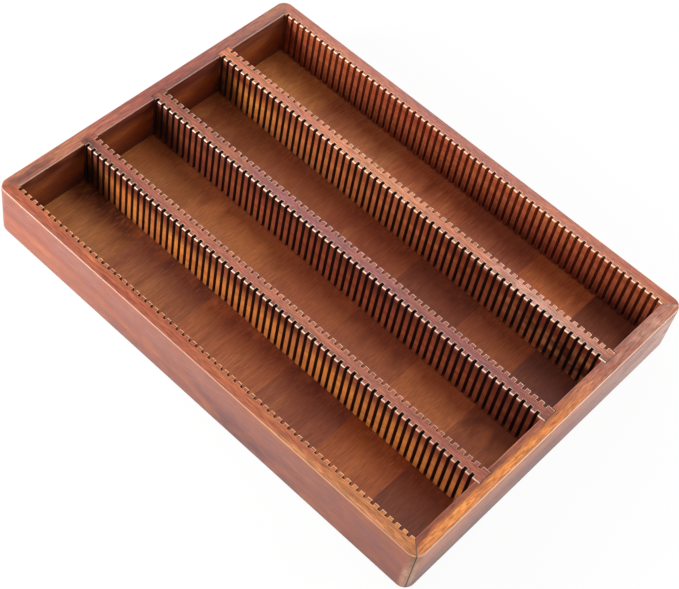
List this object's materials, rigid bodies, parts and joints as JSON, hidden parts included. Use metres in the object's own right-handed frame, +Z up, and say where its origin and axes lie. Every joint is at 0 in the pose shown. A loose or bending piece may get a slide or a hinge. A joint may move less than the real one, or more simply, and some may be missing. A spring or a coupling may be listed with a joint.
{
  "type": "coffee capsule holder",
  "caption": "Low wooden tray with mitred rails, a glued-up base and lift-out dividers whose comb slots hold coffee capsules by their rims, in rows on edge.",
  "frame": {"origin": "on the table, under the middle of the tray's outline", "axes": "+X along the lanes towards the right end rail, +Y across the lanes towards the back rail, +Z up"},
  "size_m": [0.3894, 0.2864, 0.0453],
  "materials": {
    "frame_wood": "satin",
    "divider_wood": "satin",
    "base_wood": "satin",
    "spline_wood": "matt"
  },
  "bodies": {
    "tray": {"front_rail": "frame_wood", "back_rail": "frame_wood", "left_end_rail": "frame_wood", "right_end_rail": "frame_wood", "front_left_spline": "spline_wood", "front_right_spline": "spline_wood", "back_right_spline": "spline_wood", "back_left_spline": "spline_wood", "base_stave_1": "base_wood", "base_stave_2": "base_wood", "base_stave_3": "base_wood", "base_stave_4": "base_wood", "base_stave_5": "base_wood", "base_stave_6": "base_wood"},
    "front_divider": {"front_divider": "divider_wood"},
    "middle_divider": {"middle_divider": "divider_wood"},
    "back_divider": {"back_divider": "divider_wood"}
  },
  "joints": [
    {"name": "front_divider_lift", "type": "slide", "parent": "tray", "child": "front_divider", "axis": [0, 0, 1], "range_m": [0, 0.045]},
    {"name": "middle_divider_lift", "type": "slide", "parent": "tray", "child": "middle_divider", "axis": [0, 0, 1], "range_m": [0, 0.045]},
    {"name": "back_divider_lift", "type": "slide", "parent": "tray", "child": "back_divider", "axis": [0, 0, 1], "range_m": [0, 0.045]}
  ]
}
